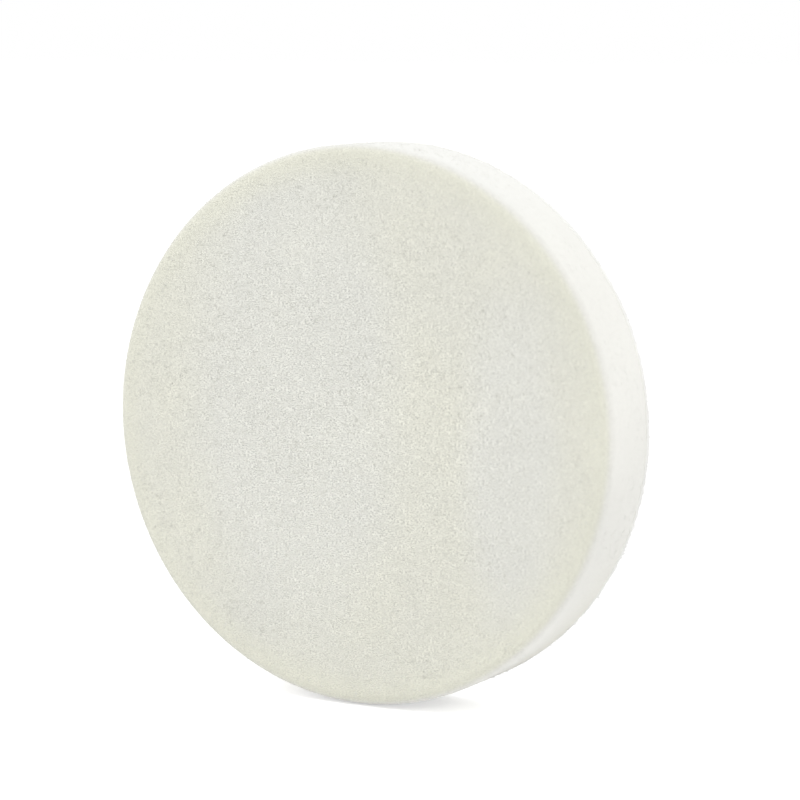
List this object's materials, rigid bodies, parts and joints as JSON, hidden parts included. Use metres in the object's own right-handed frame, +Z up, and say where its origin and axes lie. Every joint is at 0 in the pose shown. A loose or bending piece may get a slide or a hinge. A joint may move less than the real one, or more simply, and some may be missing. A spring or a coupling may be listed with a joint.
{
  "type": "felt polishing wheel",
  "caption": "Pressed wool felt disc with a plain flat polishing face, a softly rounded working edge and a loop fabric back that grips a hook-faced backing pad.",
  "frame": {"origin": "on the spin axis, halfway through the whole thickness, which is the centre of the wheel", "axes": "+Z up with the wheel standing on its rim, +Y along the spin axis towards the loop back, -Y towards the polishing face, +X to the right as the face is seen"},
  "size_m": [0.1, 0.017, 0.1],
  "materials": {
    "wool_felt": "dense pressed wool felt, off-white, matte, with a fine matted grain and a short nap on the rim",
    "contact_adhesive": "cured contact adhesive, pale amber, slightly glossy, seen only as a thin line at the rim",
    "nylon_ground_knit": "knitted nylon ground cloth, white, semi-matte, cut edge slightly frayed",
    "nylon_loop_pile": "brushed nylon loops, white, with a soft sheen"
  },
  "bodies": {
    "root": {"felt_disc": "wool_felt", "adhesive_film": "contact_adhesive", "loop_ground_cloth": "nylon_ground_knit", "loop_pile": "nylon_loop_pile"}
  },
  "joints": []
}
